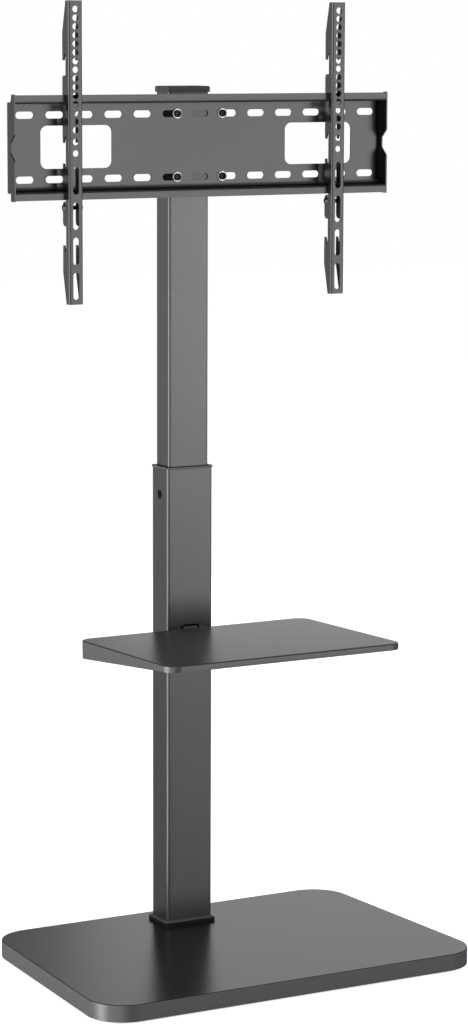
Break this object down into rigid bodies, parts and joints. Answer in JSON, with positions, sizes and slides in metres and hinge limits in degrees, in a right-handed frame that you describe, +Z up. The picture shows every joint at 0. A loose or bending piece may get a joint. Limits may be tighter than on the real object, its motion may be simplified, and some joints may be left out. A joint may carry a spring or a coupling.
{
  "type": "television floor stand",
  "caption": "Floor stand for a television: a wide board, a telescoping rectangular column, a hooked-on shelf and a slotted head plate with sliding, hooked display arms.",
  "frame": {"origin": "middle of the footprint, on the floor under the rubber pads", "axes": "+Z up along the column, -Y towards the display's side (the front), +X to the right seen from the front"},
  "size_m": [0.6148, 0.414, 1.3946],
  "materials": {
    "board": "fine matt dark grey coating on a dense fibreboard",
    "steel": "fine-textured matt dark grey powder coat",
    "shelf_steel": "fine-textured matt dark grey powder coat",
    "plate_steel": "fine-textured matt dark grey powder coat",
    "arm_steel": "fine-textured matt dark grey powder coat",
    "plastic": "fine satin black moulding",
    "guide_plastic": "satin dark grey moulding",
    "rubber": "matt black rubber",
    "dark_screw": "black oxide",
    "nickel": "dark nickel plate",
    "zinc": "bright zinc plate"
  },
  "bodies": {
    "stand": {"base_board": "board", "base_pads": "rubber", "base_bolts": "zinc", "base_washers": "zinc", "column_foot": "steel", "foot_collar": "plastic", "lower_column": "steel", "guide_collar": "guide_plastic", "lock_insert": "dark_screw", "shelf": "shelf_steel", "shelf_bracket": "steel", "shelf_screws": "dark_screw", "shelf_bolt": "dark_screw"},
    "head": {"upper_column": "steel", "inner_glide": "plastic", "top_cap": "plastic", "head_bracket": "steel", "mount_plate": "plate_steel", "plate_bolts": "dark_screw", "plate_washers": "zinc", "plate_nuts": "zinc"},
    "height_lock": {"lock_screw": "dark_screw"},
    "arm_left": {"left_arm": "arm_steel", "left_safety_nut": "zinc"},
    "arm_right": {"right_arm": "arm_steel", "right_safety_nut": "zinc"},
    "safety_left": {"left_safety_screw": "nickel"},
    "safety_right": {"right_safety_screw": "nickel"}
  },
  "joints": [
    {"name": "column_height", "type": "slide", "parent": "stand", "child": "head", "axis": [0, 0, 1], "range_m": [-0.25, 0]},
    {"name": "lock_screw_turn", "type": "hinge", "parent": "stand", "child": "height_lock", "pos_m": [-0.0355, 0.1461, 0.677], "axis": [1, 0, 0], "range_deg": [-720, 0]},
    {"name": "left_arm_slide", "type": "slide", "parent": "head", "child": "arm_left", "axis": [1, 0, 0], "range_m": [-0.076, 0.19]},
    {"name": "right_arm_slide", "type": "slide", "parent": "head", "child": "arm_right", "axis": [1, 0, 0], "range_m": [-0.19, 0.076]},
    {"name": "left_safety_screw_turn", "type": "hinge", "parent": "arm_left", "child": "safety_left", "pos_m": [-0.21441, 0.0779, 1.1056], "axis": [1, 0, 0], "range_deg": [-720, 0]},
    {"name": "right_safety_screw_turn", "type": "hinge", "parent": "arm_right", "child": "safety_right", "pos_m": [0.21441, 0.0779, 1.1056], "axis": [1, 0, 0], "range_deg": [-720, 0]}
  ]
}
